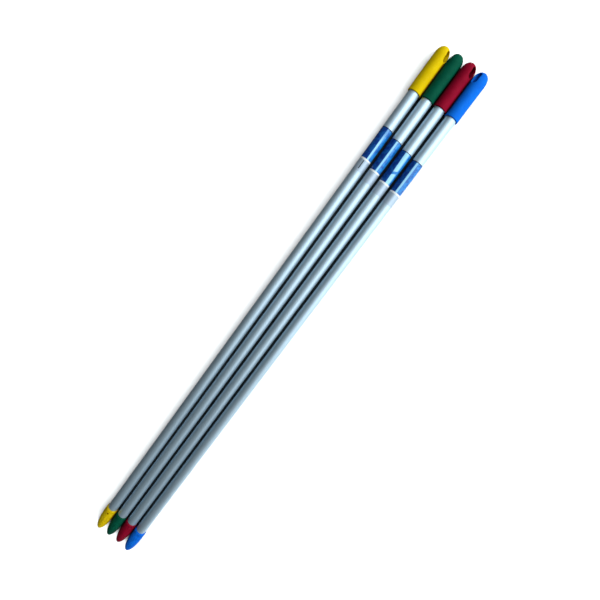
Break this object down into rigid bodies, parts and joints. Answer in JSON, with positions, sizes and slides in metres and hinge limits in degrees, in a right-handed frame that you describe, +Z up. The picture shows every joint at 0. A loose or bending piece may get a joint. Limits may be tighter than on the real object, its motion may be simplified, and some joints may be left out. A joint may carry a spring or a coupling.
{
  "type": "pole handle set",
  "caption": "Aluminium pole handles lying side by side, each with a coloured grip with a hanging slot, a bullet-nosed tip plug for a tool head, a printed label and a sticker.",
  "frame": {"origin": "on the resting plane, under the middle of the set", "axes": "+X along the poles towards the grips, +Y from the blue pole to the yellow pole, +Z up"},
  "size_m": [1.403, 0.1238, 0.0308],
  "materials": {
    "anodised_tube": "satin, clear anodised, with fine lengthwise drawing lines",
    "yellow_plastic": "satin moulded polypropylene",
    "green_plastic": "satin moulded polypropylene",
    "red_plastic": "satin moulded polypropylene",
    "blue_plastic": "satin moulded polypropylene",
    "label_film": "glossy printed film",
    "sticker_film": "pale glossy film"
  },
  "bodies": {
    "pole_yellow": {"tube_yellow": "anodised_tube", "grip_yellow": "yellow_plastic", "plug_yellow": "yellow_plastic", "label_yellow": "label_film", "sticker_yellow": "sticker_film"},
    "pole_green": {"tube_green": "anodised_tube", "grip_green": "green_plastic", "plug_green": "green_plastic", "label_green": "label_film", "sticker_green": "sticker_film"},
    "pole_red": {"tube_red": "anodised_tube", "grip_red": "red_plastic", "plug_red": "red_plastic", "label_red": "label_film", "sticker_red": "sticker_film"},
    "pole_blue": {"tube_blue": "anodised_tube", "grip_blue": "blue_plastic", "plug_blue": "blue_plastic", "label_blue": "label_film", "sticker_blue": "sticker_film"}
  },
  "joints": [
    {"name": "green_lift", "type": "slide", "parent": "pole_yellow", "child": "pole_green", "axis": [0, 0, 1], "range_m": [0, 0.3]},
    {"name": "red_lift", "type": "slide", "parent": "pole_yellow", "child": "pole_red", "axis": [0, 0, 1], "range_m": [0, 0.3]},
    {"name": "blue_lift", "type": "slide", "parent": "pole_yellow", "child": "pole_blue", "axis": [0, 0, 1], "range_m": [0, 0.3]}
  ]
}
